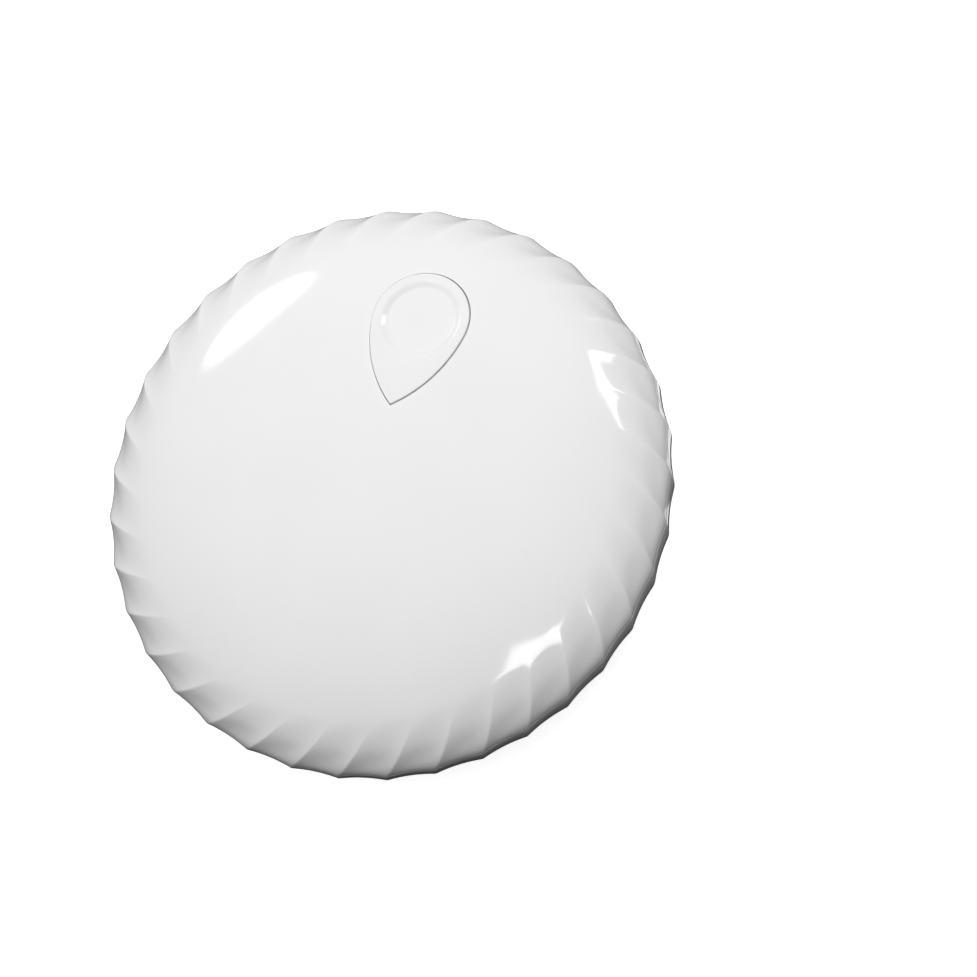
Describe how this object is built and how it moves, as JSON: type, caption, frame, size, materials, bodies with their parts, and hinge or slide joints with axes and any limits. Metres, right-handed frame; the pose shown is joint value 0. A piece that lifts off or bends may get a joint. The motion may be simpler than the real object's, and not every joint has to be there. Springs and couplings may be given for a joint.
{
  "type": "bluetooth tracker tag",
  "caption": "Round domed tracker tag with a swirled fluted rim, a pin-shaped push button and a twist-out coin cell door.",
  "frame": {"origin": "centre of the back's resting face", "axes": "+Z out through the domed front along the tag's own axis, +Y towards the pin-shaped button"},
  "size_m": [0.036, 0.036, 0.0088],
  "materials": {
    "white_shell": "satin moulded ABS",
    "white_button": "satin moulded ABS",
    "white_back": "satin moulded ABS",
    "white_door": "fine matt texture",
    "clear_silicone": "translucent silicone",
    "black_rubber": "matt",
    "grey_foam": "open foam",
    "spring_steel": "bright spring sheet",
    "frame_plastic": "moulded nylon",
    "board_laminate": "green solder mask",
    "zinc_steel": "zinc plated",
    "tinned_steel": "tinned sheet",
    "black_epoxy": "moulded epoxy",
    "crystal_lid": "nickel lid",
    "antenna_ceramic": "glazed ceramic",
    "capacitor_tan": "fired ceramic",
    "tape": "acrylic tape",
    "plate_brass": "rolled sheet",
    "sounder_silver": "silvered ceramic",
    "gold_spring": "gold plated spring sheet",
    "cell_steel": "nickel plated steel",
    "cell_gasket": "polypropylene",
    "cell_core": "pressed powder"
  },
  "bodies": {
    "housing": {"front_shell": "white_shell", "back_shell": "white_back", "button_seal": "clear_silicone", "seam_ring": "black_rubber", "snap_dome": "spring_steel", "inner_frame": "frame_plastic", "circuit_board": "board_laminate", "board_screws": "zinc_steel", "shield_can": "tinned_steel", "radio_chip": "black_epoxy", "main_crystal": "crystal_lid", "watch_crystal": "crystal_lid", "motion_sensor": "black_epoxy", "chip_antenna": "antenna_ceramic", "storage_capacitors": "capacitor_tan", "board_passives": "capacitor_tan", "sounder_tape": "tape", "sounder_plate": "plate_brass", "sounder_ceramic": "sounder_silver", "sounder_springs": "gold_spring", "positive_contact": "gold_spring", "negative_contact": "gold_spring"},
    "button": {"pin_button": "white_button"},
    "coin_cell": {"coin_cell_can": "cell_steel", "coin_cell_gasket": "cell_gasket", "coin_cell_cap": "cell_steel", "coin_cell_core": "cell_core"},
    "door": {"battery_door": "white_door", "door_ring": "black_rubber", "battery_pad": "grey_foam"}
  },
  "joints": [
    {"name": "button_press", "type": "slide", "parent": "housing", "child": "button", "axis": [0, 0, -1], "range_m": [0, 0.00025], "stiffness_N_per_m": 4000, "deforming": ["button_seal", "snap_dome"]},
    {"name": "cell_lift", "type": "slide", "parent": "housing", "child": "coin_cell", "axis": [0, 0, -1], "range_m": [0, 0.00117]},
    {"name": "door_turn", "type": "hinge", "parent": "coin_cell", "child": "door", "pos_m": [0, 0, 0], "axis": [0, 0, -1], "range_deg": [0, 47]}
  ],
  "couplings": [
    {"joint": "door_turn", "follows": "cell_lift", "rad_per_m": 698.13}
  ]
}
